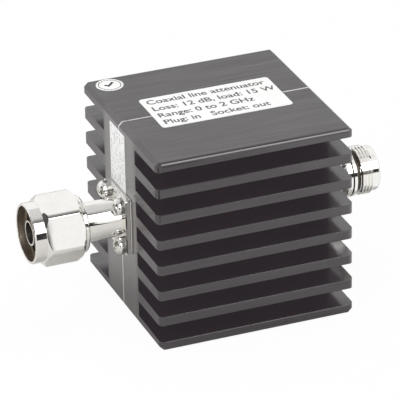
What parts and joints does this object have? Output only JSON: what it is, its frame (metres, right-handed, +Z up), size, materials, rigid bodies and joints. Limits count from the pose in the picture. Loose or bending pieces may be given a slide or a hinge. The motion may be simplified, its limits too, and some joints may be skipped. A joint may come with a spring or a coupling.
{
  "type": "rf_attenuator",
  "caption": "Black finned coaxial power attenuator with a nickel plug, free coupling nut and threaded socket",
  "frame": {"origin": "middle of the underside of the heat sink, on its parting plane", "axes": "X along the coaxial line towards the socket, Y across the fins towards the rear half, Z up"},
  "size_m": [0.117, 0.0654, 0.0646],
  "materials": {
    "anodised": "satin black anodised",
    "nickel": "bright nickel plate",
    "spring_steel": "plain spring steel",
    "screw_steel": "polished",
    "gold": "thin gold plate",
    "insulator": "plain PTFE",
    "gasket": "silicone",
    "ceramic": "fired and unglazed",
    "label": "printed white label"
  },
  "bodies": {
    "attenuator": {"heatsink_front_half": "anodised", "heatsink_rear_half": "anodised", "plug_body": "nickel", "snap_ring": "spring_steel", "plug_gasket": "gasket", "plug_insulator": "insulator", "plug_center_pin": "gold", "plug_screws": "screw_steel", "plug_lock_washers": "spring_steel", "socket_body": "nickel", "socket_insulator": "insulator", "socket_center_contact": "gold", "socket_screws": "screw_steel", "socket_lock_washers": "spring_steel", "chip_carrier": "nickel", "chip_ceramic": "ceramic", "chip_cover": "ceramic", "input_tab": "gold", "output_tab": "gold", "chip_screws": "screw_steel", "clamp_screws": "screw_steel", "top_label": "label", "round_sticker": "label", "seal_strip": "label"},
    "free_nut": {"coupling_nut": "nickel"}
  },
  "joints": [
    {"name": "nut_spin", "type": "hinge", "parent": "attenuator", "child": "free_nut", "pos_m": [-0.05495, 0, 0.03225], "axis": [-1, 0, 0], "continuous": true}
  ]
}
